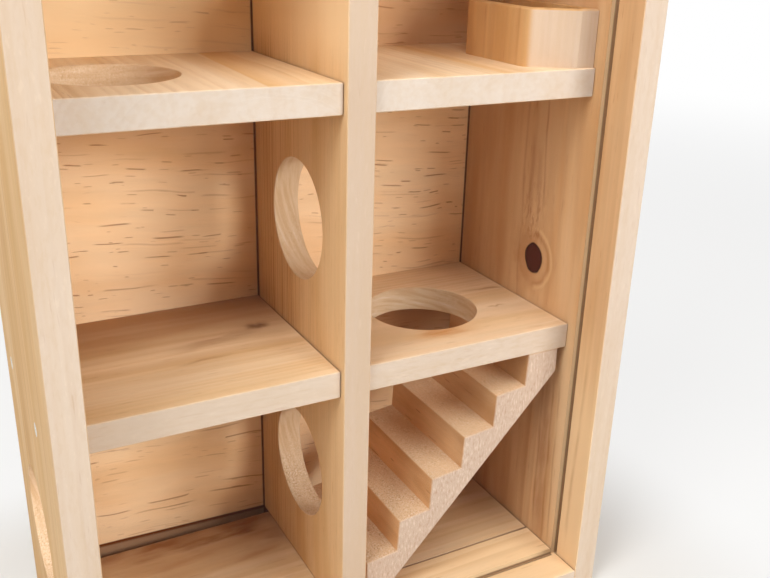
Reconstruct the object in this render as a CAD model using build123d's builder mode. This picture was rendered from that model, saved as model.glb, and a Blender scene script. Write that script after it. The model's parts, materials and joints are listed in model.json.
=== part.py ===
"""Small animal tower: two columns of three chambers in pine, with stairs, a trough and a lift-out pane.

The origin is on the surface that the tower stands on, under its middle. X runs across the columns, Y runs
back into the chambers and Z runs up. Lengths are millimetres.
"""

import os
from math import atan2, cos

from build123d import *

# Boards and chambers
board = 15.0  # thickness of every solid pine board
column_width = 132.5  # clear width of one column
chamber_depth = 121.0  # from the divider's front edge to the back panel
lower_clear = 140.0  # clear height of the bottom chambers
middle_clear = 132.0  # clear height of the middle chambers
upper_clear = 132.0  # clear height of the top chambers
shelf_setback = 3.6  # shelf front behind the divider's front edge
passage_diameter = 66.0  # round holes that the animals pass through
upper_hole_margin = 6.0  # wood between the upper left shelf's hole and the side panel
edge_ease = 0.4  # bevel that breaks the edges of boards and passages
shelf_end_play = 0.3  # each shelf is cut this much short at both ends

# Floor and back
sill_depth = 50.0  # front floor board, which carries the pane's groove
floor_rear_gap = 7.0  # slot between the rear floor board and the back panel
floor_joint_gap = 0.6  # open joint between the two floor boards
floor_end_play = 0.4  # rear floor board is cut this much short at both ends
back_thickness = 5.0  # plywood sheet
rebate_width = 5.0  # step at the rear of each side panel that takes the sheet's edge
rebate_play = 0.8  # open joint between the step and the sheet's face
divider_play = 0.6  # open joint between the divider and the sheet
back_side_gap = 0.5  # play between the sheet's edge and the step
back_foot_gap = 1.0  # sheet's lower edge above the ground

# Pane and its groove
groove_lip = 18.75  # wood in front of the groove
groove_width = 5.6
groove_to_divider = 2.95  # wood between the groove and the divider's front edge
side_groove_depth = 5.0
sill_groove_depth = 4.0
pane_thickness = 4.0
pane_side_play = 0.8
pane_edge_ease = 0.3
finger_hole_diameter = 20.0
finger_hole_drop = 22.0  # hole's centre under the roof

# Stairs, cut from one block
step_count = 6
foot_rise = 28.5  # height of the lowest nosing
tread_fall = 2.3  # each tread runs down towards its nosing
riser_lean = 1.0  # each riser's foot stands out from its nosing
stair_waist = 12.3  # wood between the inner corners and the underside
stair_depth = 85.5
stair_divider_gap = 2.5
stair_side_gap = 6.0
nosing_round = 1.0
stair_ease = 0.5

# Food trough
trough_width = 35.4
trough_length = 85.4
trough_height = 29.8
trough_cut_across = 24.5  # slanted corners on the side away from the panel
trough_cut_along = 14.2
trough_round = 7.5  # round between the slanted corners and the long face
trough_wall = 5.0
trough_floor = 9.0
trough_cove = 2.5  # round between the recess's wall and floor
recess_round = 3.0  # corners of the recess, as its cutter leaves them
trough_side_gap = 0.5
trough_setback = 5.35  # trough's front behind the divider's front edge
trough_ease = 0.8

# Dowels, screws and nails
fit_play = 0.05  # radial play of every fastener in its hole
fastener_inset = 20.0  # dowels and shelf screws from a board's front and back edges
floor_screw_inset = 20.0
sill_screw_inset = 12.0
dowel_diameter = 6.0
dowel_bite = 12.5  # length in each shelf
dowel_end_play = 0.3
dowel_tip_ease = 0.8
screw_length = 35.0
screw_diameter = 3.6
screw_head_diameter = 7.0
screw_tip = 4.0
countersink_angle = 90  # degrees
nail_length = 20.0
nail_diameter = 1.6
nail_head_diameter = 4.0
nail_head_height = 0.8
nail_tip = 2.0
nail_spread_share = 0.25  # nails left and right of a column's middle, as a share of its width

# Places worked out from those sizes
side_depth = groove_lip + groove_width + groove_to_divider + chamber_depth + back_thickness
half_inner = column_width + board / 2
front_y = -side_depth / 2
groove_y = front_y + groove_lip
divider_y = groove_y + groove_width + groove_to_divider
back_y = divider_y + chamber_depth
chamber_y = divider_y + chamber_depth / 2
shelf_y = divider_y + shelf_setback
sill_rear_y = front_y + sill_depth
floor_front_y = sill_rear_y + floor_joint_gap
floor_rear_y = back_y - floor_rear_gap
column_x = (board + column_width) / 2
floor_top = board
middle_under = floor_top + lower_clear
middle_top = middle_under + board
upper_under = middle_top + middle_clear
upper_top = upper_under + board
roof_under = upper_top + upper_clear
height = roof_under + board
lower_z = floor_top + lower_clear / 2
middle_z = middle_top + middle_clear / 2
upper_z = upper_top + upper_clear / 2
chamber_levels = (lower_z, middle_z, upper_z)
passage_radius = passage_diameter / 2
groove_mid_y = groove_y + groove_width / 2
groove_foot = floor_top - sill_groove_depth
rebate_depth = back_thickness + rebate_play
rebate_mid_y = back_y + back_thickness - rebate_depth / 2

# Rows of fasteners: places along the depth, and heights at the middle of each board
shelf_rows = (shelf_y + fastener_inset, back_y - fastener_inset)
floor_rows = (sill_rear_y + floor_screw_inset, floor_rear_y - floor_screw_inset)
sill_row = sill_rear_y - sill_screw_inset
shelf_levels = (middle_under + board / 2, upper_under + board / 2)
roof_level = roof_under + board / 2
floor_level = board / 2
side_screw_places = [(sill_row, floor_level)]
side_screw_places += [(y, floor_level) for y in floor_rows]
side_screw_places += [(y, z) for z in (*shelf_levels, roof_level) for y in shelf_rows]
nail_offset = nail_spread_share * column_width
nail_columns = [side * column_x + way * nail_offset for side in (-1, 1) for way in (-1, 1)]
nail_places = [(x, z) for z in (*shelf_levels, roof_level) for x in nail_columns]
nail_places += [(0, z) for z in chamber_levels]

screw_radius = screw_diameter / 2
screw_head_radius = screw_head_diameter / 2
screw_bite = screw_length - board
dowel_radius = dowel_diameter / 2
nail_radius = nail_diameter / 2
nail_bite = nail_length - back_thickness

os.makedirs("parts", exist_ok=True)


def save(piece, name):
    """Labels a finished piece and writes it to its own file."""
    piece.part.label = name
    export_step(piece.part, f"parts/{name}.step")


def side_planes(side, x, places):
    """Planes that face outwards on the left (-1) or right (1), at places given as (y, z)."""
    return [Plane(origin=(side * x, y, z), z_dir=(side, 0, 0)) for y, z in places]


def rear_planes(y, places):
    """Planes that face backwards, at places given as (x, z)."""
    return [Plane(origin=(x, y, z), z_dir=(0, 1, 0)) for x, z in places]


def upright_planes(z, rows, up):
    """Planes on the divider's middle line that face up (1) or down (-1), one for each row."""
    return [Plane(origin=(0, y, z), z_dir=(0, 0, up)) for y in rows]


def drill_pilots(planes, radius, bite):
    """Blind holes for fasteners, square to each plane."""
    with Locations(*planes):
        Hole(radius=radius + fit_play, depth=bite + fit_play)


def sink_screws(planes):
    """Countersunk through holes that take screw heads flush with each plane."""
    with Locations(*planes):
        CounterSinkHole(
            radius=screw_radius + fit_play,
            counter_sink_radius=screw_head_radius + fit_play,
            counter_sink_angle=countersink_angle,
        )


def bore_passages(planes):
    """Round passages square to each plane, with their rims eased on both sides."""
    with Locations(*planes):
        Hole(passage_radius)
    chamfer(edges(Select.LAST).filter_by(GeomType.CIRCLE), edge_ease)


# Side panels: a board with an upright groove for the pane and a rebate for the back
for side, side_name in ((-1, "left"), (1, "right")):
    with BuildPart() as side_panel:
        with BuildSketch():
            with Locations((side * (half_inner + board / 2), 0)):
                Rectangle(board, side_depth)
        extrude(amount=height)
        chamfer(side_panel.edges(), edge_ease)
        with BuildSketch(Plane.XY.offset(groove_foot)):
            with Locations((side * (half_inner + side_groove_depth / 2), groove_mid_y)):
                Rectangle(side_groove_depth, groove_width)
        extrude(amount=height - groove_foot, mode=Mode.SUBTRACT)
        with BuildSketch():
            with Locations((side * (half_inner + rebate_width / 2), rebate_mid_y)):
                Rectangle(rebate_width, rebate_depth)
        extrude(amount=height, mode=Mode.SUBTRACT)
        sink_screws(side_planes(side, half_inner + board, side_screw_places))
        if side < 0:
            bore_passages(side_planes(side, half_inner + board, [(chamber_y, lower_z)]))
    save(side_panel, f"{side_name}_side_panel")

# Front floor board: a sill with the pane's groove along it
with BuildPart() as floor_sill:
    with BuildSketch():
        with Locations((0, (front_y + sill_rear_y) / 2)):
            Rectangle(2 * half_inner, sill_depth)
    extrude(amount=board)
    chamfer(floor_sill.edges(), edge_ease)
    with BuildSketch(Plane.XY.offset(groove_foot)):
        with Locations((0, groove_mid_y)):
            Rectangle(2 * half_inner, groove_width)
    extrude(amount=sill_groove_depth, mode=Mode.SUBTRACT)
    for side in (-1, 1):
        drill_pilots(side_planes(side, half_inner, [(sill_row, floor_level)]), screw_radius, screw_bite)
save(floor_sill, "floor_sill")

# Rear floor board, which stops short of the back panel
with BuildPart() as floor_board:
    with BuildSketch():
        with Locations((0, (floor_front_y + floor_rear_y) / 2)):
            Rectangle(2 * (half_inner - floor_end_play), floor_rear_y - floor_front_y)
    extrude(amount=board)
    chamfer(floor_board.edges(), edge_ease)
    for side in (-1, 1):
        places = [(y, floor_level) for y in floor_rows]
        drill_pilots(side_planes(side, half_inner, places), screw_radius, screw_bite)
    sink_screws(upright_planes(0, floor_rows, -1))
save(floor_board, "floor_board")

# Roof board, which stops behind the groove so that the pane lifts past it
with BuildPart() as roof_board:
    with BuildSketch(Plane.XY.offset(roof_under)):
        with Locations((0, chamber_y)):
            Rectangle(2 * half_inner, chamber_depth)
    extrude(amount=board)
    chamfer(roof_board.edges(), edge_ease)
    for side in (-1, 1):
        places = [(y, roof_level) for y in shelf_rows]
        drill_pilots(side_planes(side, half_inner, places), screw_radius, screw_bite)
    sink_screws(upright_planes(height, shelf_rows, 1))
    drill_pilots(rear_planes(back_y, [(x, roof_level) for x in nail_columns]), nail_radius, nail_bite)
save(roof_board, "roof_board")

# Divider between the columns, with a round passage in the middle of each chamber
with BuildPart() as divider:
    with BuildSketch(Plane.XY.offset(floor_top)):
        with Locations((0, (divider_y + back_y - divider_play) / 2)):
            Rectangle(board, chamber_depth - divider_play)
    extrude(amount=roof_under - floor_top)
    chamfer(divider.edges(), edge_ease)
    bore_passages(side_planes(1, board / 2, [(chamber_y, z) for z in chamber_levels]))
    with Locations(*side_planes(1, board / 2, [(y, z) for z in shelf_levels for y in shelf_rows])):
        Hole(dowel_radius + fit_play)
    drill_pilots(upright_planes(floor_top, floor_rows, -1), screw_radius, screw_bite)
    drill_pilots(upright_planes(roof_under, shelf_rows, 1), screw_radius, screw_bite)
    drill_pilots(rear_planes(back_y, [(0, z) for z in chamber_levels]), nail_radius, nail_bite)
save(divider, "divider")

# Shelves: dowelled to the divider and screwed to the side panels, two of them with a passage
middle_hole_x = column_x
upper_hole_x = -half_inner + upper_hole_margin + passage_radius
shelves = (
    ("middle_left_shelf", -1, middle_under, None),
    ("middle_right_shelf", 1, middle_under, middle_hole_x),
    ("upper_left_shelf", -1, upper_under, upper_hole_x),
    ("upper_right_shelf", 1, upper_under, None),
)
for shelf_name, side, under, hole_x in shelves:
    level = under + board / 2
    places = [(y, level) for y in shelf_rows]
    with BuildPart() as shelf:
        with BuildSketch(Plane.XY.offset(under)):
            with Locations((side * column_x, (shelf_y + back_y) / 2)):
                Rectangle(column_width - 2 * shelf_end_play, back_y - shelf_y)
        extrude(amount=board)
        chamfer(shelf.edges(), edge_ease)
        if hole_x is not None:
            bore_passages([Plane(origin=(hole_x, chamber_y, under + board))])
        drill_pilots(side_planes(side, half_inner, places), screw_radius, screw_bite)
        inner_planes = [Plane(origin=(side * board / 2, y, z), z_dir=(-side, 0, 0)) for y, z in places]
        drill_pilots(inner_planes, dowel_radius, dowel_bite + dowel_end_play)
        nail_row = [(x, level) for x in nail_columns if x * side > 0]
        drill_pilots(rear_planes(back_y, nail_row), nail_radius, nail_bite)
    save(shelf, shelf_name)

# Back panel: a plywood sheet in the side panels' rebates, nailed to the shelves, the roof and the divider
with BuildPart() as back_panel:
    with BuildSketch(Plane.XY.offset(back_foot_gap)):
        with Locations((0, back_y + back_thickness / 2)):
            Rectangle(2 * (half_inner + rebate_width - back_side_gap), back_thickness)
    extrude(amount=height - back_foot_gap)
    with Locations(*rear_planes(back_y + back_thickness, nail_places)):
        CounterBoreHole(nail_radius + fit_play, nail_head_diameter / 2 + fit_play, nail_head_height)
save(back_panel, "back_panel")

# Stairs: one block, stepped above and planed to a straight slope below
stair_left = board / 2 + stair_divider_gap
stair_length = column_width - stair_divider_gap - stair_side_gap
step_run = stair_length / step_count
step_rise = (lower_clear - foot_rise) / (step_count - 1)
stair_pitch = atan2(step_rise, step_run)
stair_points = [(stair_left, floor_top)]
for step in range(step_count):
    nosing_x = stair_left + step * step_run
    nosing_z = floor_top + foot_rise + step * step_rise
    if step:
        stair_points.append((nosing_x - riser_lean, nosing_z - step_rise + tread_fall))
    stair_points.append((nosing_x, nosing_z))
nosings = [(x, z) for x, z in stair_points[1:-1:2]]
corner_x, corner_z = stair_points[2]
slope = step_rise / step_run
under_drop = stair_waist / cos(stair_pitch)
stair_right = stair_left + stair_length
right_foot_z = corner_z - under_drop + slope * (stair_right - corner_x)
floor_foot_x = corner_x - (corner_z - under_drop - floor_top) / slope
stair_points += [(stair_right, middle_under), (stair_right, right_foot_z), (floor_foot_x, floor_top)]
with BuildPart() as stairs:
    with BuildSketch(Plane.XZ.offset(-shelf_y)) as stair_outline:
        with BuildLine():
            Polyline(*stair_points, close=True)
        make_face()
        fillet([stair_outline.vertices().sort_by_distance(point)[0] for point in nosings], nosing_round)
    extrude(amount=-stair_depth)
    chamfer(stairs.faces().filter_by(Axis.Y).edges(), stair_ease)
save(stairs, "stairs")

# Food trough: a block with slanted corners away from the panel, and a recess of the same outline
trough_right = half_inner - trough_side_gap
trough_left = trough_right - trough_width
trough_near = divider_y + trough_setback
trough_far = trough_near + trough_length
trough_points = [
    (trough_right, trough_near),
    (trough_left + trough_cut_across, trough_near),
    (trough_left, trough_near + trough_cut_along),
    (trough_left, trough_far - trough_cut_along),
    (trough_left + trough_cut_across, trough_far),
    (trough_right, trough_far),
]
with BuildPart() as food_trough:
    with BuildSketch(Plane.XY.offset(upper_top)) as trough_outline:
        with BuildLine():
            Polyline(*trough_points, close=True)
        make_face()
        fillet(trough_outline.vertices().group_by(Axis.X)[0], trough_round)
    extrude(amount=trough_height)
    chamfer(food_trough.faces().sort_by(Axis.Z)[-1].edges(), trough_ease)
    with BuildSketch(Plane.XY.offset(upper_top + trough_floor)) as recess:
        with BuildLine():
            Polyline(*trough_points, close=True)
        make_face()
        offset(amount=-trough_wall, kind=Kind.INTERSECTION, mode=Mode.REPLACE)
        fillet(recess.vertices(), recess_round)
    extrude(amount=trough_height - trough_floor, mode=Mode.SUBTRACT)
    recess_floor = food_trough.faces().filter_by(Axis.Z).filter_by(lambda face: face.center().Z > upper_top)
    fillet(recess_floor.sort_by(Axis.Z)[0].edges(), trough_cove)
save(food_trough, "food_trough")

# Front pane: clear sheet in the grooves, with a finger hole at the top of each column
pane_width = 2 * (half_inner + side_groove_depth - pane_side_play)
with BuildPart() as front_pane:
    with BuildSketch(Plane.XY.offset(groove_foot)):
        with Locations((0, groove_mid_y)):
            Rectangle(pane_width, pane_thickness)
    extrude(amount=height - groove_foot)
    chamfer(front_pane.edges(), pane_edge_ease)
    finger_places = [(side * column_x, roof_under - finger_hole_drop) for side in (-1, 1)]
    with Locations(*rear_planes(groove_mid_y + pane_thickness / 2, finger_places)):
        Hole(finger_hole_diameter / 2)
save(front_pane, "front_pane")

# Countersunk wood screw, head up at the origin
with BuildPart() as screw:
    with BuildSketch(Plane.XZ):
        with BuildLine():
            Polyline(
                (0, 0),
                (screw_head_radius, 0),
                (screw_radius, screw_radius - screw_head_radius),
                (screw_radius, screw_tip - screw_length),
                (0, -screw_length),
                close=True,
            )
        make_face()
    revolve(axis=Axis.Z)

# Flat-headed nail, head up at the origin
with BuildPart() as nail:
    with BuildSketch(Plane.XZ):
        with BuildLine():
            Polyline(
                (0, 0),
                (nail_head_diameter / 2, 0),
                (nail_head_diameter / 2, -nail_head_height),
                (nail_radius, -nail_head_height),
                (nail_radius, nail_tip - nail_length),
                (0, -nail_length),
                close=True,
            )
        make_face()
    revolve(axis=Axis.Z)

# Groups of like fasteners, each set in its own holes
screw_groups = (
    ("left_side_screws", side_planes(-1, half_inner + board, side_screw_places)),
    ("right_side_screws", side_planes(1, half_inner + board, side_screw_places)),
    ("divider_foot_screws", upright_planes(0, floor_rows, -1)),
    ("divider_roof_screws", upright_planes(height, shelf_rows, 1)),
)
for group_name, planes in screw_groups:
    with BuildPart() as screw_group:
        with Locations(*planes):
            add(screw.part)
    save(screw_group, group_name)

with BuildPart() as back_nails:
    with Locations(*rear_planes(back_y + back_thickness, nail_places)):
        add(nail.part)
save(back_nails, "back_nails")

dowel_length = board + 2 * dowel_bite
with BuildPart() as shelf_dowels:
    with Locations(*side_planes(1, 0, [(y, z) for z in shelf_levels for y in shelf_rows])):
        Cylinder(dowel_radius, dowel_length)
    chamfer(shelf_dowels.edges().filter_by(GeomType.CIRCLE), dowel_tip_ease)
save(shelf_dowels, "shelf_dowels")
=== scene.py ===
"""Small animal tower: finishes for its pine boards, plywood back, sawn stairs, trough, pane and fasteners.

The frame holds every board at its real place, so each finish is a solid pattern in the frame's own metres:
growth rings about a pith line, fibres along the grain and rough fibres in bored passages. Some of the
photograph's shade is part of the finishes. The screws are made again here, with cross recesses and threads.
"""

import json
import math

import bpy
import numpy as np
from mathutils import Matrix, Vector


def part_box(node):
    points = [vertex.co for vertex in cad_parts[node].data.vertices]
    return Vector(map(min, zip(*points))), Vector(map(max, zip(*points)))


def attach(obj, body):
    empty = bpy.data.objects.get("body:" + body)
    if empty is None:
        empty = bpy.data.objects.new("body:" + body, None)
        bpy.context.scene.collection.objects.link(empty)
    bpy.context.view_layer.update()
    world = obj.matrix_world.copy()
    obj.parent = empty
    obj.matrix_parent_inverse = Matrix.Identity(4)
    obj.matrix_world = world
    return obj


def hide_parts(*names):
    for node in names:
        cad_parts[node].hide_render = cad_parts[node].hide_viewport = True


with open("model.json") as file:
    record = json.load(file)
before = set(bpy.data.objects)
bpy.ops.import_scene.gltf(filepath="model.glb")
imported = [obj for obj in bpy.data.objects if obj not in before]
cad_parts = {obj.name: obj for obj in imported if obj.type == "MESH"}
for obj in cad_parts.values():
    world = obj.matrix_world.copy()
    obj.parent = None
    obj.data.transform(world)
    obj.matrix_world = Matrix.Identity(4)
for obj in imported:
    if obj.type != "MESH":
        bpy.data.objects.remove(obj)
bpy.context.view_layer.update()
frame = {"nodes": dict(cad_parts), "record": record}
nodes = frame["nodes"]
openings = {hole["name"]: hole["box_m"] for hole in frame["record"]["physics"]["openings"]}
mm = 0.001

# Heights of the shelves' faces, the passages' radius, and the depth of all relief on wood
middle_shelf_foot, middle_shelf_top = 155 * mm, 170 * mm
upper_shelf_foot, upper_shelf_top = 302 * mm, 317 * mm
passage_radius = 33 * mm
relief = 0.12 * mm

# Growth rings: how far slow noise and ripples move them, and how much a knot squeezes them
ring_wander = 16 * mm
ring_ripple = 2 * mm
knot_squeeze = 0.86


def srgb(red, green, blue):
    """A colour given in screen values from 0 to 255, as linear light with full alpha."""
    shares = np.array((red, green, blue)) / 255
    linear = np.where(shares <= 0.04045, shares / 12.92, ((shares + 0.055) / 1.055) ** 2.4)
    return (*linear.tolist(), 1.0)


class Wire:
    """One socket of a finish. Sums, products and powers of wires add Math nodes."""

    def __init__(self, finish, socket):
        self.finish = finish
        self.socket = socket

    def math(self, operation, *terms):
        return self.finish.node("Math", {"operation": operation}, dict(enumerate(terms)))

    def __add__(self, other):
        return self.math("ADD", self, other)

    def __radd__(self, other):
        return self.math("ADD", other, self)

    def __sub__(self, other):
        return self.math("SUBTRACT", self, other)

    def __rsub__(self, other):
        return self.math("SUBTRACT", other, self)

    def __mul__(self, other):
        return self.math("MULTIPLY", self, other)

    def __rmul__(self, other):
        return self.math("MULTIPLY", other, self)

    def __truediv__(self, other):
        return self.math("DIVIDE", self, other)

    def __pow__(self, other):
        return self.math("POWER", self, other)

    def __abs__(self):
        return self.math("ABSOLUTE", self)


class Finish:
    """A material while its nodes are laid out.

    Values that stay the same all over are set on the shader itself.
    """

    def __init__(self, name, **constants):
        self.material = bpy.data.materials.new(name)
        self.material.use_nodes = True
        self.tree = self.material.node_tree
        self.shader = self.tree.nodes["Principled BSDF"]
        for socket, value in constants.items():
            self.shader.inputs[socket.replace("_", " ")].default_value = value

    def node(self, kind, settings=None, inputs=None, output=0):
        """Adds one node: its settings are set first, then the values or links of its sockets."""
        new = self.tree.nodes.new("ShaderNode" + kind)
        for name, value in (settings or {}).items():
            setattr(new, name, value)
        for name, value in (inputs or {}).items():
            if isinstance(value, Wire):
                self.tree.links.new(value.socket, new.inputs[name])
            else:
                new.inputs[name].default_value = value
        return Wire(self, new.outputs[output])

    def feed(self, socket, wire):
        self.tree.links.new(wire.socket, self.shader.inputs[socket])

    def place(self):
        return self.node("TexCoord", output="Object")

    def facing(self):
        """The surface's own direction as three wires."""
        return self.split(self.node("TexCoord", output="Normal"))

    def split(self, vector):
        parts = self.node("SeparateXYZ", inputs={0: vector})
        outputs = parts.socket.node.outputs
        return [Wire(self, outputs[index]) for index in range(3)]

    def join(self, *parts):
        return self.node("CombineXYZ", inputs=dict(enumerate(parts)))

    def stretch(self, vector, factors):
        return self.node("VectorMath", {"operation": "MULTIPLY"}, {0: vector, 1: factors})

    def noise(self, vector, scale, detail, seed, roughness=0.5):
        """Noise with about as many waves in a metre as its scale says. Each seed gives another pattern."""
        sockets = {"Vector": vector, "W": seed, "Scale": scale, "Detail": detail, "Roughness": roughness}
        return self.node("TexNoise", {"noise_dimensions": "4D"}, sockets)

    def noise_along(self, value, scale, seed):
        sockets = {"W": value + seed, "Scale": scale, "Detail": 1.0}
        return self.node("TexNoise", {"noise_dimensions": "1D"}, sockets)

    def ramp(self, value, low, high):
        """Rises smoothly from 0 at low to 1 at high, or falls if high is the smaller."""
        settings = {"interpolation_type": "SMOOTHSTEP"}
        if low < high:
            return self.node("MapRange", settings, {0: value, 1: low, 2: high})
        return 1 - self.node("MapRange", settings, {0: value, 1: high, 2: low})

    def blend(self, share, first, second):
        """A mix of two colours. A Mix node takes colours at inputs 6 and 7 and gives one at output 2."""
        return self.node("Mix", {"data_type": "RGBA"}, {0: share, 6: first, 7: second}, 2)

    def lighten(self, colour, value):
        """Multiplies a colour by one value."""
        return self.node("HueSaturation", inputs={"Value": value, "Color": colour})

    def falloff(self, distance):
        """Falls from 1 in the middle towards 0 with the square of the distance."""
        return distance.math("EXPONENT", distance * distance * -1.0)

    def bump(self, height, strength):
        sockets = {"Height": height, "Distance": relief, "Strength": strength}
        self.feed("Normal", self.node("Bump", inputs=sockets))


# Tones of untreated pine. Boards with painted shade towards the rear have a tone for it too
shelf_tones = {
    "pale": srgb(233, 205, 168),
    "honey": srgb(222, 185, 136),
    "amber": srgb(196, 147, 90),
    "rear_shade": srgb(140, 84, 36),
}
upright_tones = {
    "pale": srgb(223, 188, 142),
    "honey": srgb(209, 164, 108),
    "amber": srgb(174, 120, 62),
    "rear_shade": srgb(158, 104, 48),
}
panel_tones = {
    "pale": srgb(214, 175, 132),
    "honey": srgb(197, 148, 97),
    "amber": srgb(168, 111, 55),
    "rear_shade": srgb(138, 78, 28),
}
middle_right_tones = {"pale": srgb(226, 196, 161), "honey": srgb(214, 177, 132), "amber": srgb(190, 142, 88)}
upper_tones = {"pale": srgb(240, 215, 182), "honey": srgb(230, 196, 150), "amber": srgb(200, 152, 96)}
sill_tones = {"pale": srgb(244, 216, 178), "honey": srgb(236, 198, 148), "amber": srgb(204, 154, 94)}
trough_tones = {"pale": srgb(210, 167, 115), "honey": srgb(195, 147, 90), "amber": srgb(168, 113, 60)}
fresh_edge = srgb(204, 187, 171)
upper_edge = srgb(206, 193, 181)
divider_edge = srgb(195, 173, 154)
trough_edge = srgb(208, 189, 172)
edge_shade = srgb(190, 164, 136)
lit_pine_tone = srgb(244, 211, 166)
cut_wood = srgb(224, 193, 157)
swept_brown = srgb(212, 175, 134)
bright_fibre = srgb(244, 228, 206)
pit_brown = srgb(164, 112, 68)
dark_fleck = srgb(148, 82, 32)
veneer_mark = srgb(150, 72, 22)
resin = srgb(148, 86, 34)
joint_shade = srgb(110, 54, 16)
groove_light = srgb(246, 214, 168)
golden = srgb(214, 160, 84)
painted_floor_shade = srgb(128, 72, 28)
rim_stain = srgb(190, 130, 72)
dark_stain = srgb(96, 50, 22)
knot_halo = srgb(168, 112, 60)
knot_rim = srgb(44, 20, 12)
knot_core = srgb(82, 36, 22)
wood_gloss = 0.1

# Tones of the plywood's veneer, of the sawn stairs, of acrylic, of zinc and of the floor's paint
pale_veneer = srgb(250, 218, 177)
warm_veneer = srgb(242, 201, 152)
shaded_veneer = srgb(190, 124, 62)
lit_veneer = srgb(255, 226, 178)
pale_riser = srgb(208, 163, 118)
warm_riser = srgb(192, 144, 97)
tread_wood = srgb(224, 188, 149)
torn_tread = srgb(230, 194, 155)
sawn_face = srgb(196, 171, 151)
sawn_fleck = srgb(168, 128, 99)
sunk_acrylic = srgb(120, 126, 126)
open_acrylic = srgb(206, 228, 226)
dull_zinc = srgb(196, 194, 188)
bright_zinc = srgb(226, 224, 216)
floor_white = srgb(224, 222, 218)

# Order of a board's axes for each direction of grain: across its face, through its thickness, along the grain
grain_orders = {
    "shelf_x": (1, 2, 0),
    "shelf_y": (0, 2, 1),
    "upright_z": (1, 0, 2),
}


def board_axes(wood, node_name, grain):
    """Coordinates from a board's middle: across its face, through its thickness and along the grain."""
    low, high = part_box(node_name)
    middle = (low + high) / 2
    parts = wood.split(wood.node("VectorMath", {"operation": "SUBTRACT"}, {0: wood.place(), 1: middle}))
    return [parts[index] for index in grain_orders[grain]]


def late_wood(wood, radius, ring, seed):
    """Share of dark late wood. Each growth ring darkens outwards and ends sharply, some more than others."""
    phase = radius / ring + wood.noise_along(radius, 90.0, seed) * 2.4
    whole = phase.math("FLOOR", phase)
    part = phase - whole
    weight = wood.node("TexWhiteNoise", {"noise_dimensions": "1D"}, {"W": whole + seed})
    return wood.ramp(part, 0.15, 0.85) * wood.ramp(part, 1.0, 0.9) * (0.25 + 0.75 * weight)


def joint_line(wood, node_name, axis, at_high):
    """Shade close to one end of a node's box, where the board meets another."""
    low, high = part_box(node_name)
    place = wood.split(wood.place())[axis]
    inset = high[axis] - place if at_high else place - low[axis]
    return wood.ramp(inset, 1.1 * mm, 0.3 * mm)


def grooved_out(wood, colour, upright):
    """Painted light in the mouth of the groove close about the pane, and painted shade in its depth."""
    low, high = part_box("front_pane")
    x, y, z = wood.split(wood.place())
    inset = abs(x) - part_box("right_side_panel")[0].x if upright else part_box("floor_sill")[1].z - z
    behind_lip = wood.ramp(y, low.y - 1.2 * mm, low.y - 0.9 * mm)
    before_rear = wood.ramp(y, high.y + 1.2 * mm, high.y + 0.9 * mm)
    within = behind_lip * before_rear * wood.ramp(inset, 7.5 * mm, 6.5 * mm)
    # Painted light: paler wood in the groove's mouth; painted shade deeper in
    sunk = wood.ramp(inset, 0.1 * mm, 0.4 * mm) * within
    colour = wood.blend(sunk * 0.8, colour, groove_light)
    return wood.blend(wood.ramp(inset, 2.1 * mm, 3.0 * mm) * within * 0.6, colour, joint_shade)


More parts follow.
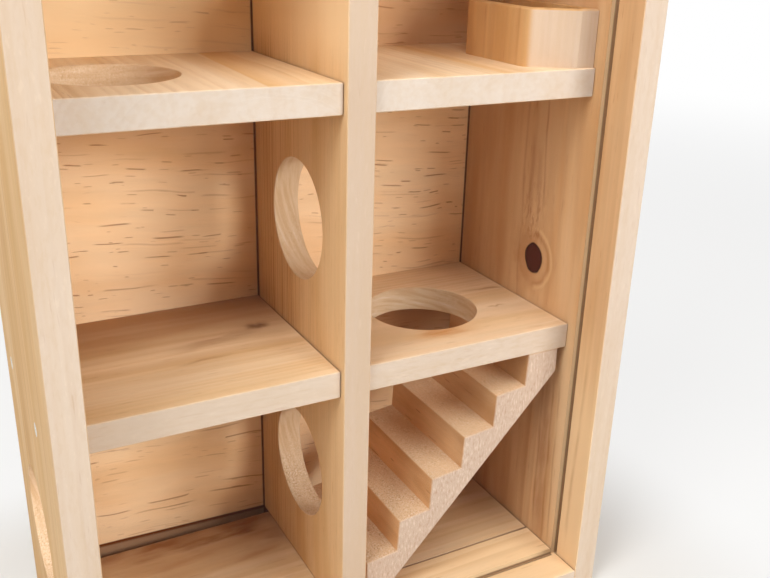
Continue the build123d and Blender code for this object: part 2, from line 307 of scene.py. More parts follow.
def pine(node_name, grain, pith, seed, tones, ring=3.4 * mm, figure=0.5, fade=None,
         edge=fresh_edge, edge_cover=0.88, edge_depth=2 * mm, edge_mottle=0.2,
         rear_shade=0.0, rear_shade_from=-40 * mm, top_light=0.0,
         bores=(), knots=(), smudges=(), stripes=(), joints=(), grooved=False):
    """Planed pine: growth rings about a pith line beside the board, with fibres and flecks along the grain.

    The ring number is the distance from the pith line divided by the ring width, bent by slow noise. A knot
    squeezes the coordinate across the grain, so that rings pass round it. The board's front edge is a fresh,
    paler cut. A share of painted shade darkens the board towards the rear, more so low down, and such boards
    have painted light at their lower front. Some boards are also painted lighter towards the top.
    """
    wood = Finish(node_name + "_pine", Roughness=0.62, Specular_IOR_Level=wood_gloss)
    u, v, w = board_axes(wood, node_name, grain)
    solid = wood.join(u, v, w)

    def drawn_out(share):
        """Coordinates with only a share of the one along the grain, which draws patterns out along it."""
        return wood.stretch(solid, (1.0, 1.0, share))

    bent_u = u
    for knot in knots:
        push = wood.falloff(knot_distance(u, w, knot) / knot["reach"])
        bent_u = knot["u"] + (bent_u - knot["u"]) * (1 - knot_squeeze * push)

    slow = drawn_out(0.12)
    wander_u = (wood.noise(slow, 16.0, 1.0, seed) - 0.5) * ring_wander
    wander_v = (wood.noise(slow, 16.0, 1.0, seed + 5.0) - 0.5) * ring_wander
    ripple = (wood.noise(drawn_out(0.2), 70.0, 2.0, seed + 9.0) - 0.5) * ring_ripple
    from_u = bent_u - pith[0] + wander_u
    from_v = v - pith[1] + wander_v
    radius = (from_u * from_u + from_v * from_v) ** 0.5 + ripple
    late = late_wood(wood, radius, ring, seed)
    if fade:
        late = late * (0.25 + 0.75 * wood.ramp({"u": u, "w": w}[fade["along"]], fade["faint"], fade["full"]))

    broad = wood.noise(drawn_out(0.15), 45.0, 2.0, seed + 2.0)
    patch = wood.ramp(wood.noise(drawn_out(0.3), 22.0, 1.0, seed + 8.0), 0.3, 0.7)
    fibre = wood.noise(drawn_out(0.03), 1300.0, 3.0, seed + 3.0, 0.65)
    streak = wood.noise(drawn_out(0.035), 330.0, 2.0, seed + 4.0)
    dash = wood.ramp(wood.noise(drawn_out(0.07), 1100.0, 1.0, seed + 6.0), 0.66, 0.76)

    colour = wood.blend(wood.ramp(broad, 0.38, 0.68) * 0.7, tones["pale"], tones["honey"])
    colour = wood.blend(late * (0.45 + 0.55 * patch) * figure, colour, tones["amber"])
    colour = wood.blend(dash * 0.3, colour, dark_fleck)
    colour = wood.lighten(colour, 0.85 + 0.2 * streak + 0.1 * fibre)
    height = fibre * 0.5 + late * 0.4

    # Painted shade: darker towards the rear, more so low down
    if rear_shade:
        _, y, z = wood.split(wood.place())
        lower_two, lowest = wood.ramp(z, 0.34, 0.3), wood.ramp(z, 0.14, 0.08)
        rear = wood.ramp(y + (broad - 0.5) * (60 * mm), rear_shade_from, 65 * mm) * lower_two
        colour = wood.blend(rear * rear_shade * (1 + 0.6 * lowest), colour, tones["rear_shade"])
        # Painted light: paler at the lower front
        lower_front_light = wood.ramp(y, -35 * mm, -65 * mm) * wood.ramp(z, 0.2, 0.1)
        colour = wood.blend(lower_front_light * 0.85, colour, lit_pine_tone)
    # Painted light: paler towards the top
    if top_light:
        top = wood.ramp(wood.split(wood.place())[2], 0.31, 0.34)
        colour = wood.blend(top * top_light, colour, lit_pine_tone)
    for stripe in stripes:
        from_edge = u - stripe["u"] - stripe["slant"] * w + (streak - 0.5) * (2 * mm)
        begun = wood.ramp(from_edge, 0.0, 1.5 * mm)
        band = begun * wood.ramp(from_edge, stripe["width"], 0.2 * stripe["width"])
        colour = wood.blend(band * stripe["strength"], colour, stripe["tone"])
    for streak_line in smudges:
        colour = smudged(wood, colour, u, w, streak_line, seed)
    for knot in knots:
        colour = knotted(wood, colour, u, w, knot, seed)

    mottle = wood.noise(drawn_out(0.3), 500.0, 3.0, seed + 7.0, 0.6)
    shade = wood.ramp(streak, 0.4, 0.65) * 0.22 + wood.ramp(broad, 0.4, 0.6) * 0.2
    edge_tone = wood.blend(shade, edge, edge_shade)
    edge_tone = wood.blend(wood.ramp(mottle, 0.52, 0.36) * edge_mottle, edge_tone, edge_shade)
    edge_tone = wood.blend(wood.ramp(mottle, 0.58, 0.7) * edge_mottle * 0.5, edge_tone, bright_fibre)
    edge_tone = wood.blend(dash * edge_mottle * 0.6, edge_tone, dark_fleck)
    front_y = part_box(node_name)[0].y
    at_front = wood.ramp(wood.split(wood.place())[1], front_y + edge_depth, front_y + 0.8 * edge_depth)
    front = wood.ramp(wood.facing()[1], -0.55, -0.9) * at_front
    colour = wood.blend(front * edge_cover, colour, edge_tone)

    for bore in bores:
        colour, height = bored(wood, colour, height, bore, seed)
    for axis, at_high in joints:
        line = joint_line(wood, node_name, axis, at_high)
        colour = wood.blend(line * (1 - front) * 0.92, colour, joint_shade)
    if grooved:
        colour = grooved_out(wood, colour, grain == "upright_z")

    wood.feed("Base Color", colour)
    wood.feed("Roughness", 0.66 - 0.1 * late + 0.08 * fibre)
    wood.bump(height, 0.6)
    return wood.material


def knot_distance(u, w, knot):
    """Distance from a knot's middle, 1 at its rim."""
    across = (u - knot["u"]) / knot["half_across"]
    along = (w - knot["w"]) / knot["half_along"]
    return (across * across + along * along) ** 0.5


def knotted(wood, colour, u, w, knot, seed):
    """A dark, hard knot in a warm halo, with rims on one side of it and a swirl of streaks above it."""
    wobble = wood.noise(wood.place(), 160.0, 2.0, seed + 10.0) - 0.5
    distance = knot_distance(u, w, knot) + wobble * 0.3
    one_side = wood.ramp(u - knot["u"], 2 * mm, -6 * mm)
    halo = wood.ramp(distance + wobble * 1.5, 2.8, 1.0) * (1 - 0.5 * one_side)
    colour = wood.blend(halo * knot["halo"], colour, knot_halo)
    above = wood.ramp(w - knot["w"], 6 * mm, 16 * mm) * wood.ramp(w - knot["w"], 62 * mm, 22 * mm)
    beside = wood.ramp(abs(u - knot["u"] - 3 * mm), 13 * mm, 6 * mm)
    swirl = wood.noise(wood.join(u + (wobble * 6 * mm), 0.0, w * 0.3), 420.0, 3.0, seed + 17.0)
    colour = wood.blend(wood.ramp(swirl, 0.5, 0.6) * above * beside * 0.4, colour, resin)
    pale = upright_tones["pale"]
    for rim, half_width, share, tone in (
        (1.25, 0.2, 0.2, pale), (1.65, 0.2, 0.3, resin), (2.0, 0.22, 0.55, pale),
    ):
        line = wood.ramp(abs(distance - rim), half_width, 0.0) * (0.15 + 0.85 * one_side)
        colour = wood.blend(line * share, colour, tone)
    grit = wood.noise(wood.stretch(wood.place(), (1.0, 1.0, 0.4)), 900.0, 3.0, seed + 11.0, 0.65)
    core = wood.lighten(knot["tone"], 0.5 + 0.9 * grit)
    core = wood.blend(wood.ramp(distance, 0.7, 0.95) * 0.65, core, knot_rim)
    return wood.blend(wood.ramp(distance, 1.06, 0.94), colour, core)


def smudged(wood, colour, u, w, smudge, seed):
    """A streak, stain or band of painted shade along a straight line from one place to another, with frayed
    sides.
    """
    (u0, w0), (u1, w1) = smudge["ends"]
    length = math.hypot(u1 - u0, w1 - w0)
    run_u, run_w = (u1 - u0) / length, (w1 - w0) / length
    from_u, from_w = u - u0, w - w0
    along = (from_u * run_u + from_w * run_w) / length
    across = from_u * run_w - from_w * run_u
    fray = wood.noise(wood.join(u * 2.5, w * 0.5, 0.0), 110.0, 3.0, seed + 12.0) - 0.5
    sway = wood.noise_along(along, 2.5, seed + u1 / mm) - 0.5
    across = across + fray * (2.5 * smudge["half_width"]) + sway * (3 * mm)
    body = wood.falloff(across / smudge["half_width"])
    worn = 0.35 + 0.65 * wood.ramp(wood.noise(wood.join(u, w * 0.4, 0.0), 70.0, 1.0, seed + 16.0), 0.35, 0.6)
    ends = wood.ramp(along, -0.25, 0.3) * wood.ramp(along, 1.25, 0.7)
    return wood.blend(body * ends * worn * smudge["strength"], colour, smudge["tone"])


def torn_fibres(wood, seed, base):
    """Tone and height of a rough cut across the grain: bright torn fibres and dark pits."""
    grit = wood.noise(wood.place(), 1100.0, 2.0, seed + 13.0, 0.7)
    patchy = wood.ramp(wood.noise(wood.place(), 90.0, 1.0, seed + 15.0), 0.35, 0.65)
    tone = wood.blend(wood.ramp(grit, 0.53, 0.64) * (0.5 + 0.5 * patchy), base, bright_fibre)
    tone = wood.blend(wood.ramp(grit, 0.47, 0.35) * (0.35 + 0.5 * patchy), tone, pit_brown)
    return tone, grit - 0.5


def bored(wood, colour, height, bore, seed):
    """A bored passage's wall: slanted streaks, with torn fibres where the cutter met the fibres' ends."""
    offset = wood.node("VectorMath", {"operation": "SUBTRACT"}, {0: wood.place(), 1: bore["centre"]})
    spoke = wood.stretch(offset, [0.0 if index == bore["axis"] else 1.0 for index in range(3)])
    reach = wood.node("VectorMath", {"operation": "LENGTH"}, {0: spoke}, "Value")
    wall = wood.ramp(reach, bore["radius"] + 0.4 * mm, bore["radius"] + 0.15 * mm)
    parts = wood.split(offset)
    end_share = parts[bore["torn_axis"]] / bore["radius"]
    rough = (wood.ramp(end_share, 0.2, -0.8) + 0.5 * wood.ramp(end_share, 0.4, 0.9)) * bore["torn_share"]
    tone, grit = torn_fibres(wood, seed, cut_wood)
    slanted = parts[bore["axis"]] + 0.22 * parts[bore["torn_axis"]]
    swept = wood.join(slanted, *[0.1 * part for index, part in enumerate(parts) if index != bore["axis"]])
    sweep = wood.noise(swept, 420.0, 3.0, seed + 14.0)
    smooth = wood.blend(wood.ramp(sweep, 0.36, 0.56), swept_brown, cut_wood)
    smooth = wood.blend(wood.ramp(sweep, 0.56, 0.7) * 0.4, smooth, bright_fibre)
    smooth = wood.lighten(smooth, bore["level"])
    colour = wood.blend(wall, colour, wood.blend(0.08 + 0.92 * rough, smooth, tone))
    return colour, height + wall * (rough * grit * 6.0 + sweep)


def dashes(wood, flow, cell_length, cell_height, dash_length, dash_height, gap_share, seed):
    """Short dark dashes along X, one at most in each cell of a random pattern, with random lengths.

    The flow coordinates are scaled so that a cell is about one unit each way. In a cell with its point at
    (a, b), the dash is where |x - a| and |z - b| stay under the dash's half sizes.
    """
    cells = wood.stretch(flow, (1 / cell_length, 0.0, 1 / cell_height))
    sockets = {"Vector": cells, "Scale": 1.0, "Randomness": 1.0, "W": seed}
    point = wood.node("TexVoronoi", {"voronoi_dimensions": "4D"}, sockets, "Position")
    picks = wood.split(Wire(wood, point.socket.node.outputs["Color"]))
    run_x, _, run_z = wood.split(wood.node("VectorMath", {"operation": "SUBTRACT"}, {0: cells, 1: point}))
    half_length = 0.5 * dash_length / cell_length
    half_height = 0.5 * dash_height / cell_height
    along = abs(run_x) / (half_length * (0.3 + 0.7 * picks[0]))
    across = abs(run_z) / (half_height * (0.5 + 0.5 * picks[2]))
    shape = wood.ramp(along, 1.0, 0.5) * wood.ramp(across, 1.0, 0.2)
    return shape * wood.ramp(picks[1], gap_share, gap_share + 0.3)


def plywood(node_name, seed):
    """Rotary-cut veneer: soft clouds of colour, with short dark dashes and long thin lines along the grain.

    The inner face has painted shade under the shelves, beside the divider and beside the trough, and painted
    light in the upper left chamber. It has dark joint lines in its corners, and painted shade in the slot
    behind the floor, along a slightly sloping line.
    """
    wood = Finish(node_name + "_plywood", Roughness=0.6, Specular_IOR_Level=wood_gloss)
    x, y, z = wood.split(wood.place())
    wave = (wood.noise(wood.join(x, y, z * 1.5), 22.0, 1.0, seed) - 0.5) * (9 * mm)
    flow = wood.join(x, y, z + 0.06 * x + wave)
    clouds = wood.noise(wood.stretch(flow, (0.35, 1.0, 1.0)), 40.0, 3.0, seed + 1.0)
    fibre = wood.noise(wood.stretch(flow, (0.05, 1.0, 1.0)), 700.0, 3.0, seed + 2.0, 0.6)
    rays = wood.noise(wood.stretch(flow, (0.1, 1.0, 1.0)), 130.0, 2.0, seed + 3.0)
    colour = wood.blend(wood.ramp(clouds, 0.3, 0.72), pale_veneer, warm_veneer)
    colour = wood.lighten(colour, 0.89 + 0.2 * rays + 0.1 * fibre)
    lower = wood.ramp(z, 0.19, 0.12)
    layers = (
        (dashes(wood, flow, 30 * mm, 5.5 * mm, 22 * mm, 1.5 * mm, 0.5, seed), 0.65 - 0.3 * lower),
        (dashes(wood, flow, 19 * mm, 4.5 * mm, 8 * mm, 1.1 * mm, 0.5, seed + 3.0), 0.5 - 0.2 * lower),
        (dashes(wood, flow, 60 * mm, 8 * mm, 55 * mm, 1.7 * mm, 0.45, seed + 6.0), 0.25 + 0.35 * lower),
    )
    height = fibre * 0.4
    for dash, share in layers:
        broken = dash * wood.ramp(fibre, 0.25, 0.5)
        colour = wood.blend(broken * share, colour, veneer_mark)
        height = height - broken * 0.15
    inner = wood.ramp(wood.facing()[1], -0.5, -0.8)
    left = wood.ramp(x, 0.0, -8 * mm)
    lower_two = wood.ramp(z, upper_shelf_top, upper_shelf_foot)
    under_upper = wood.ramp(z, 0.24, 0.3) * lower_two * left
    lowest = wood.ramp(z, middle_shelf_top, middle_shelf_foot)
    under_middle = wood.ramp(z, 0.1, 0.14) * lowest * (1 - left)
    by_divider = wood.ramp(x, -30 * mm, -8 * mm) * lower_two * left
    by_trough = wood.ramp(x, 20 * mm, 90 * mm) * (1 - lower_two)
    # Painted shade under the shelves, beside the divider and beside the trough, and painted light in the
    # upper left chamber, on the inner face
    deep = under_upper * 0.55 + under_middle * 0.7 + by_divider * 0.35 + by_trough * 0.4
    colour = wood.blend(deep.math("MINIMUM", deep, 0.8) * inner, colour, shaded_veneer)
    colour = wood.blend((1 - lower_two) * left * inner * 0.5, colour, lit_veneer)
    # Painted shade in the slot behind the floor, below a line that slopes slightly along x, and dark joint
    # lines in the corners
    level = z + 0.033 * x
    slot_shade = wood.ramp(level, 16.1 * mm, 15.5 * mm) * (0.72 + 0.28 * wood.ramp(level, 12.6 * mm, 14.6 * mm))
    panel_x, divider_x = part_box("right_side_panel")[0].x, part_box("divider")[1].x
    corners = wood.ramp(abs(x), panel_x - 1.2 * mm, panel_x - 0.5 * mm)
    corners = corners + wood.ramp(abs(x), divider_x + 1.2 * mm, divider_x + 0.5 * mm)
    colour = wood.blend(slot_shade.math("MAXIMUM", slot_shade, corners * 0.95) * inner, colour, joint_shade)
    wood.feed("Base Color", colour)
    wood.feed("Roughness", 0.55 + 0.2 * fibre)
    wood.bump(height, 0.5)
    return wood.material


def sawn_block(node_name, seed):
    """A block sawn to shape: torn flats, smoother uprights and a pinkish front with short upright flecks.

    Flats and uprights are lighter towards the rear: painted shade at the front, painted light at the rear.
    """
    wood = Finish(node_name + "_sawn", Roughness=0.72, Specular_IOR_Level=wood_gloss)
    place = wood.place()
    normal = wood.facing()
    _, y, z = wood.split(place)
    flats = wood.ramp(normal[2], 0.5, 0.85)
    front = wood.ramp(normal[1], -0.5, -0.85)
    torn, grit = torn_fibres(wood, seed, torn_tread)
    fleck = wood.noise(wood.stretch(place, (1.0, 1.0, 0.3)), 1000.0, 3.0, seed + 1.0, 0.65)
    fibre = wood.noise(wood.stretch(place, (1.0, 0.06, 1.0)), 500.0, 3.0, seed + 2.0, 0.6)
    clouds = wood.noise(wood.stretch(place, (1.0, 0.3, 1.0)), 60.0, 2.0, seed + 3.0)
    riser = wood.blend(wood.ramp(clouds, 0.35, 0.65), pale_riser, warm_riser)
    riser = wood.lighten(riser, (0.9 + 0.2 * fibre) * (1 + 0.3 * wood.ramp(z, 0.13, 0.06)))
    marks = dashes(wood, wood.join(y, 0.0, z), 34 * mm, 7 * mm, 16 * mm, 1.2 * mm, 0.5, seed)
    riser = wood.blend(marks * 0.6, riser, dark_fleck)
    tread = wood.lighten(tread_wood, 0.85 + 0.3 * fibre)
    rough = 0.4 + 0.6 * wood.ramp(z, 0.11, 0.04)
    colour = wood.blend(flats, riser, wood.blend(rough, tread, torn))
    # Painted shade at the front of the stairs and painted light towards the rear
    colour = wood.lighten(colour, 0.87 + 0.22 * wood.ramp(y, -46 * mm, 5 * mm))
    face = wood.blend(wood.ramp(fleck, 0.53, 0.68) * 0.5, sawn_face, sawn_fleck)
    face = wood.blend(wood.ramp(fleck, 0.47, 0.35) * 0.3, face, bright_fibre)
    colour = wood.blend(front, colour, face)
    wood.feed("Base Color", colour)
    wood.bump(grit * (flats * rough * 4.0 + front * 2.0) + fibre * 0.5, 0.6)
    return wood.material


def clear_sheet(node_name):
    """Clear acrylic, almost unseen face on. Its top edge and finger holes gather light, sunk edges don't."""
    sheet = Finish(node_name + "_acrylic", Roughness=0.04, IOR=1.49)
    low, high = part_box(node_name)
    x, _, z = sheet.split(sheet.place())
    rim = sheet.ramp(abs(sheet.facing()[1]), 0.8, 0.5)
    clear_of_sides = sheet.ramp(abs(x), high.x - 4 * mm, high.x - 9 * mm)
    clear_of_sill = sheet.ramp(z, low.z + 8 * mm, low.z + 20 * mm)
    open_rim = rim * clear_of_sides * clear_of_sill
    sheet.feed("Base Color", sheet.blend(open_rim, sunk_acrylic, open_acrylic))
    sheet.feed("Alpha", 0.012 + 0.13 * rim + 0.32 * open_rim)
    return sheet.material


def steel(node_name, seed):
    """Zinc-plated steel with a faint bloom."""
    metal = Finish(node_name + "_zinc", Metallic=1.0)
    bloom = metal.noise(metal.place(), 700.0, 3.0, seed)
    metal.feed("Base Color", metal.blend(bloom, dull_zinc, bright_zinc))
    metal.feed("Roughness", 0.28 + 0.2 * bloom)
    return metal.material


# Screws: countersunk heads with a cross recess, plain necks and coarse threads
screw_length = 35 * mm
screw_radius = 1.8 * mm
screw_core_radius = 1.2 * mm
screw_head_radius = 3.5 * mm
screw_neck = 11 * mm
screw_tip = 4 * mm
thread_pitch = 1.8 * mm
recess_reach = 2.2 * mm
recess_half_width = 0.55 * mm
recess_depth = 1.3 * mm
recess_slope = 0.35 * mm
screw_spacing = 10 * mm


def ring_surface(radii, heights):
    """Points and quads of a surface wound about Z, from grids with a row per ring and a column per angle."""
    rows, columns = radii.shape
    turn = np.linspace(0, 2 * np.pi, columns, endpoint=False)
    points = np.stack((radii * np.cos(turn), radii * np.sin(turn), heights), -1).reshape(-1, 3)
    corner = np.arange(rows * columns).reshape(rows, columns)
    beside = np.roll(corner, -1, 1)
    quads = np.stack((corner[:-1], corner[1:], beside[1:], beside[:-1]), -1).reshape(-1, 4)
    return points, quads


def smooth_step(value, low, high):
    """Rises from 0 at low to 1 at high as 3t^2 - 2t^3."""
    share = np.clip((value - low) / (high - low), 0, 1)
    return share * share * (3 - 2 * share)


def screw_head():
    """A flat top with a cross recess, and the cone below it.

    The recess is the deeper of two bars, each 1 within its half width and reach and 0 outside, with smooth
    slopes between.
    """
    columns, rings = 48, 18
    turn = np.linspace(0, 2 * np.pi, columns, endpoint=False)
    radii = np.linspace(0, 1, rings)[:, None] * np.full(columns, screw_head_radius)
    x, y = abs(radii * np.cos(turn)), abs(radii * np.sin(turn))
    bars = []
    for along, across in ((x, y), (y, x)):
        inner_side, outer_side = recess_half_width - recess_slope / 2, recess_half_width + recess_slope / 2
        within = 1 - smooth_step(across, inner_side, outer_side)
        bars.append(within * (1 - smooth_step(along, recess_reach - 2 * recess_slope, recess_reach)))
    heights = -recess_depth * np.maximum(*bars)
    neck_radii = np.full((1, columns), screw_radius)
    neck_heights = np.full((1, columns), screw_radius - screw_head_radius)
    return ring_surface(np.vstack((radii, neck_radii)), np.vstack((heights, neck_heights)))


def screw_shank():
    """A plain neck, then a thread with a tapered tip.

    The thread's radius runs between core and crest as a triangle wave. At depth d and angle a the wave's
    phase is d / pitch - a / 2 pi.
    """
    columns, rows_per_turn = 16, 5
    depths = np.arange(screw_head_radius - screw_radius, screw_length, thread_pitch / rows_per_turn)
    depths = np.append(depths, screw_length)[:, None]
    turns = np.linspace(0, 1, columns, endpoint=False)[None, :]
    phase = (depths / thread_pitch - turns) % 1
    wave = 1 - abs(2 * phase - 1)
    threaded = smooth_step(depths, screw_neck, screw_neck + thread_pitch)
    radii = screw_radius - threaded * (1 - wave) * (screw_radius - screw_core_radius)
    radii = radii * np.clip((screw_length - depths) / screw_tip, 0, 1) ** 0.7
    return ring_surface(radii, -depths * np.ones_like(turns))


def fastener_places(node_name, axis):
    """Middles of a group's separate fasteners, seen along their axis."""
    mesh = nodes[node_name].data
    points = np.empty(3 * len(mesh.vertices))
    mesh.vertices.foreach_get("co", points)
    flat = np.delete(points.reshape(-1, 3), axis, 1)
    places = []
    while len(flat):
        near = np.linalg.norm(flat - flat[0], axis=1) < screw_spacing
        places.append((flat[near].min(0) + flat[near].max(0)) / 2)
        flat = flat[~near]
    return places


def screw_group(node_name, axis, way, seed):
    """All screws of a group in one piece, with heads flush with the group's box and turned at random."""
    draws = np.random.default_rng(seed)
    low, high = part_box(node_name)
    head_level = high[axis] if way > 0 else low[axis]
    outward = np.zeros(3)
    outward[axis] = way
    points, quads = [], []
    for place in fastener_places(node_name, axis):
        seat = np.insert(place, axis, head_level)
        turn = draws.uniform(0, np.pi / 2)
        side = np.roll(outward, 1) * way
        lift = np.cross(outward, side)
        first = np.cos(turn) * side + np.sin(turn) * lift
        basis = np.stack((first, np.cross(outward, first), outward))
        for local, faces in (screw_head(), screw_shank()):
            quads.append(faces + sum(len(block) for block in points))
            points.append(seat + local @ basis)
    mesh = bpy.data.meshes.new(node_name + "_cut")
    mesh.from_pydata(np.vstack(points).tolist(), [], np.vstack(quads).tolist())
    mesh.validate()
    mesh.polygons.foreach_set("use_smooth", np.ones(len(mesh.polygons), bool))
    mesh.materials.append(steel(node_name, float(seed)))
    piece = bpy.data.objects.new(node_name + "_cut", mesh)
    bpy.context.scene.collection.objects.link(piece)
    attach(piece, "tower")
    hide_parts(node_name)


def dress(node_name, material):
    """Gives a CAD node one finish in place of its own."""
    mesh = nodes[node_name].data
    mesh.materials.clear()
    mesh.materials.append(material)


def passage(name, axis, torn_axis, torn_share, level=1.0):
    """A bored passage: axis, middle, radius, the way its fibres run, and how torn and bright its wall is."""
    low, high = (Vector(corner) for corner in openings[name])
    return {
        "axis": axis, "centre": (low + high) / 2, "radius": passage_radius,
        "torn_axis": torn_axis, "torn_share": torn_share, "level": level,
    }


def smudge(start, end, half_width, strength, tone=resin):
    """A streak's or painted shade's ends, across and along the grain from a board's middle, and half width,
    in millimetres.
    """
    ends = [(across * mm, along * mm) for across, along in (start, end)]
    return {"ends": ends, "half_width": half_width * mm, "strength": strength, "tone": tone}


divider_bores = [
    passage("lower_divider_passage", 0, 2, 0.7, 0.9),
    passage("middle_divider_passage", 0, 2, 0.15, 0.88),
    passage("upper_divider_passage", 0, 2, 0.3),
]
panel_knot = {
    "u": -7.6 * mm, "w": -33.8 * mm, "half_across": 8.5 * mm, "half_along": 9.4 * mm,
    "reach": 2.6, "halo": 0.5, "tone": knot_core,
}
panel_smudges = [
    smudge((8.5, 66), (6.5, -62), 0.9, 0.5),
    smudge((-9, 66), (-12, 0), 0.9, 0.5),
    smudge((1.8, 66), (-1, -18), 2.0, 0.3),
    smudge((-4, 40), (-9, -16), 2.4, 0.25),
    smudge((4, -60), (-4, -130), 1.8, 0.35),
    smudge((-33, -100), (-36, -215), 4.5, 0.5),
    smudge((-29, -105), (-31, -215), 1.0, 0.5),
    smudge((-38, -90), (-41, -215), 0.9, 0.55),
    smudge((-44, -85), (-47, -215), 0.8, 0.4),
    smudge((-66, -60), (-64, -200), 1.2, 0.3),
]
left_shelf_smudges = [
    smudge((14.2, 42), (14.2, 54), 3.2, 0.75, dark_stain),
    smudge((0.5, 0.5), (11, 46), 4.5, 0.45),
    smudge((-17, -4.5), (-14.5, 21), 1.3, 0.5),
]
right_shelf_smudges = [
    smudge((-38, -28), (-38.5, 12), 5.0, 0.95, rim_stain),
    smudge((10.5, 38), (6.7, 65), 1.4, 0.7),
    smudge((-17.6, 38), (-17.8, 48), 0.8, 0.55),
]
floor_streaks_and_shade = [
    # The first two marks are painted shade, along the rear by the slot and beside the divider; the rest are
    # streaks
    smudge((41, -125), (42, -4), 11.0, 0.95, painted_floor_shade),
    smudge((44, -34), (14, -8), 9.0, 0.6, painted_floor_shade),
    smudge((18, -95), (24, -8), 3.0, 0.35),
    smudge((2, -70), (9, -12), 2.2, 0.35),
    smudge((-14, -110), (-8, -40), 1.8, 0.25),
    smudge((12, 50), (4, 132), 2.4, 0.3),
]
upper_left_stripes = [{"u": 31 * mm, "slant": 0.044, "width": 24 * mm, "strength": 0.55, "tone": golden}]
upper_right_stripes = [{"u": 6 * mm, "slant": 0.0, "width": 24 * mm, "strength": 0.4, "tone": golden}]

# Where growth rings fade: along which of a board's axes, where they are faint and where they are full
rear_lines = {"along": "u", "faint": -25 * mm, "full": 15 * mm}
lower_lines = {"along": "w", "faint": -40 * mm, "full": -110 * mm}

middle_bore = passage("middle_shelf_passage", 2, 0, 0.25, 0.78)
upper_bore = passage("upper_shelf_passage", 2, 1, 0.5)

# A pith line's place is across and through the board from its middle, in metres. A joint is an axis of the
# frame, and whether the high end of the board's box is meant
both_ends = ((0, False), (0, True))
uprights = {
    "divider": {
        "pith": (0.3, 0.0), "ring": 2.5 * mm, "figure": 0.9, "fade": rear_lines,
        "rear_shade": 0.2, "top_light": 0.7, "edge": divider_edge,
        "bores": divider_bores, "joints": ((1, True), (2, False)),
    },
    "left_side_panel": {"pith": (0.01, 0.04), "bores": [passage("entrance", 0, 2, 0.5)], "grooved": True},
    "right_side_panel": {
        "pith": (0.004, 0.03), "tones": panel_tones, "ring": 9 * mm, "figure": 0.55, "fade": lower_lines,
        "rear_shade": 0.2, "knots": [panel_knot], "smudges": panel_smudges, "grooved": True,
    },
    "food_trough": {
        "pith": (0.02, -0.06), "tones": trough_tones, "ring": 7 * mm, "figure": 0.35,
        "edge": trough_edge, "edge_cover": 0.8, "edge_depth": 20 * mm, "edge_mottle": 0.1,
    },
}
boards_along_x = {
    "middle_left_shelf": {
        "pith": (0.02, -0.05), "figure": 0.35, "rear_shade": 0.75, "rear_shade_from": -5 * mm,
        "smudges": left_shelf_smudges, "joints": both_ends,
    },
    "middle_right_shelf": {
        "pith": (-0.03, -0.045), "tones": middle_right_tones, "figure": 0.35, "edge_mottle": 0.3,
        "bores": [middle_bore], "smudges": right_shelf_smudges, "joints": both_ends,
    },
    "roof_board": {"pith": (0.01, -0.07)},
    "floor_board": {
        "pith": (0.02, -0.05), "ring": 5 * mm, "rear_shade": 0.3, "edge": joint_shade, "edge_mottle": 0.0,
        "smudges": floor_streaks_and_shade, "joints": both_ends,
    },
    "floor_sill": {
        "pith": (-0.02, -0.06), "tones": sill_tones, "ring": 5 * mm,
        "joints": (*both_ends, (1, True)), "grooved": True,
    },
    "shelf_dowels": {"pith": (0.01, 0.02)},
}
boards_along_y = {
    "upper_left_shelf": {
        "pith": (0.03, -0.06), "edge": upper_edge, "edge_mottle": 0.08,
        "bores": [upper_bore], "stripes": upper_left_stripes, "joints": both_ends,
    },
    "upper_right_shelf": {
        "pith": (0.03, -0.05), "edge": upper_edge, "edge_mottle": 0.08,
        "stripes": upper_right_stripes, "joints": both_ends,
    },
}
seed = 0.0
for grain, tones, boards in (
    ("upright_z", upright_tones, uprights),
    ("shelf_x", shelf_tones, boards_along_x),
    ("shelf_y", upper_tones, boards_along_y),
):
    for node_name, features in boards.items():
        seed += 1.0
        dress(node_name, pine(node_name, grain, seed=seed, **{"tones": tones, **features}))

dress("back_panel", plywood("back_panel", 1.0))
dress("stairs", sawn_block("stairs", 1.0))
dress("front_pane", clear_sheet("front_pane"))
dress("back_nails", steel("back_nails", 1.0))
screw_group("left_side_screws", 0, -1, 2)
screw_group("right_side_screws", 0, 1, 3)
screw_group("divider_foot_screws", 2, -1, 4)
screw_group("divider_roof_screws", 2, 1, 5)


# Camera: the photograph's view
camera_place = Vector((-194.33, -429.18, 384.15)) * mm
camera_azimuth = math.radians(28.822)
camera_pitch = math.radians(21.497)
camera_roll = math.radians(1.6205)
camera_data = bpy.data.cameras.new("camera")
camera_data.sensor_fit = "HORIZONTAL"
camera_data.sensor_width = 36.0
camera_data.lens = 43.154
camera_data.clip_start = 0.01
camera = bpy.data.objects.new("camera", camera_data)
bpy.context.scene.collection.objects.link(camera)
turn = Matrix.Rotation(-camera_azimuth, 4, "Z")
tip = Matrix.Rotation(math.pi / 2 - camera_pitch, 4, "X")
roll = Matrix.Rotation(camera_roll, 4, "Z")
camera.matrix_world = Matrix.Translation(camera_place) @ turn @ tip @ roll
bpy.context.scene.camera = camera


# Rays that see the floor and the surroundings as a white background, and how white they see the near floor
background_rays = ("Is Camera Ray", "Is Glossy Ray", "Is Transmission Ray")
near_white = 0.7

# Lamps stand on a sphere: name, azimuth and elevation in degrees, side in metres, power in watts
tower_middle = Vector((0.0, 0.0, 0.23))
lamp_distance = 1.5
lamps = (
    ("front_right", 24, 17, 0.6, 15.2),
    ("high_left", -60, 55, 0.55, 11.2),
    ("high_front", -20, 55, 0.55, 6.7),
    ("left", -60, 22, 0.6, 5.2),
    ("overhead", 0, 80, 0.75, 1.5),
    ("rear_right", 140, 40, 0.9, 6.0),
    ("rear_left", -140, 40, 0.9, 6.0),
)
even_light = 0.01


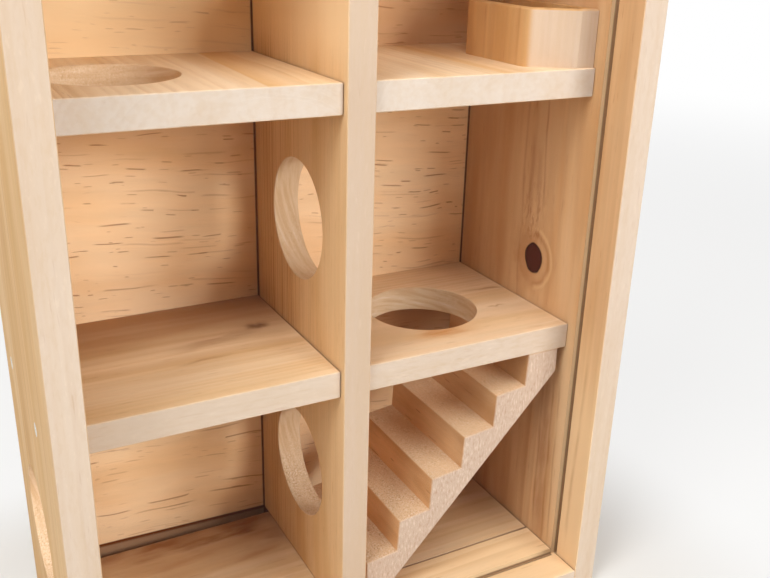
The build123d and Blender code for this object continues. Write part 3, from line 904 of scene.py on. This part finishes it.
def floor_paint():
    """White paint that background rays see partly as plain white, which keeps it pale away from the lamps."""
    paint = Finish("floor_paint", Roughness=0.9, Base_Color=floor_white)
    x, y, _ = paint.split(paint.place())
    beneath = paint.ramp(abs(x), 0.3, 0.17) * paint.ramp(abs(y), 0.2, 0.1)
    far = paint.ramp((x * x + y * y) ** 0.5, 0.6, 2.2)
    glow = paint.node("Emission", inputs={"Color": srgb(255, 255, 255), "Strength": 1.0})
    camera_ray, glossy_ray, clear_ray = [paint.node("LightPath", output=kind) for kind in background_rays]
    seen = camera_ray.math("MAXIMUM", camera_ray, glossy_ray.math("MAXIMUM", glossy_ray, clear_ray))
    surface = Wire(paint, paint.shader.outputs[0])
    white = seen * (1 - beneath) * (near_white + (1 - near_white) * far)
    mixed = paint.node("MixShader", inputs={0: white, 1: surface, 2: glow})
    paint.tree.links.new(mixed.socket, paint.tree.nodes["Material Output"].inputs["Surface"])
    return paint.material


def floor_sheet():
    """A wide pale floor under the tower."""
    half = 4.0
    corners = [(-half, -half, 0), (half, -half, 0), (half, half, 0), (-half, half, 0)]
    mesh = bpy.data.meshes.new("floor")
    mesh.from_pydata(corners, [], [(0, 1, 2, 3)])
    floor = bpy.data.objects.new("floor", mesh)
    bpy.context.scene.collection.objects.link(floor)
    mesh.materials.append(floor_paint())


def lamp(name, azimuth, elevation, size, power):
    """A square soft lamp that is turned to the tower's middle. Azimuth 0 is in front."""
    turn, rise = math.radians(azimuth), math.radians(elevation)
    way = Vector((math.sin(turn) * math.cos(rise), -math.cos(turn) * math.cos(rise), math.sin(rise)))
    data = bpy.data.lights.new(name, "AREA")
    data.shape = "SQUARE"
    data.size = size
    data.energy = power
    light = bpy.data.objects.new(name, data)
    bpy.context.scene.collection.objects.link(light)
    facing = (-way).to_track_quat("-Z", "Y").to_matrix().to_4x4()
    light.matrix_world = Matrix.Translation(tower_middle + lamp_distance * way) @ facing


def surroundings(strength):
    """Even light from all round, which background rays see as white."""
    world = bpy.data.worlds.new("surroundings")
    world.use_nodes = True
    bpy.context.scene.world = world
    tree = world.node_tree
    rays = tree.nodes.new("ShaderNodeLightPath").outputs
    seen = rays[background_rays[0]]
    for kind in background_rays[1:]:
        either = tree.nodes.new("ShaderNodeMath")
        either.operation = "MAXIMUM"
        tree.links.new(seen, either.inputs[0])
        tree.links.new(rays[kind], either.inputs[1])
        seen = either.outputs[0]
    level = tree.nodes.new("ShaderNodeMapRange")
    level.inputs["To Min"].default_value = strength
    tree.links.new(seen, level.inputs["Value"])
    tree.links.new(level.outputs[0], tree.nodes["Background"].inputs["Strength"])
    tree.nodes["Background"].inputs["Color"].default_value = (1.0, 1.0, 1.0, 1.0)


floor_sheet()
for row in lamps:
    lamp(*row)
surroundings(even_light)
bpy.context.scene.view_settings.view_transform = "Standard"
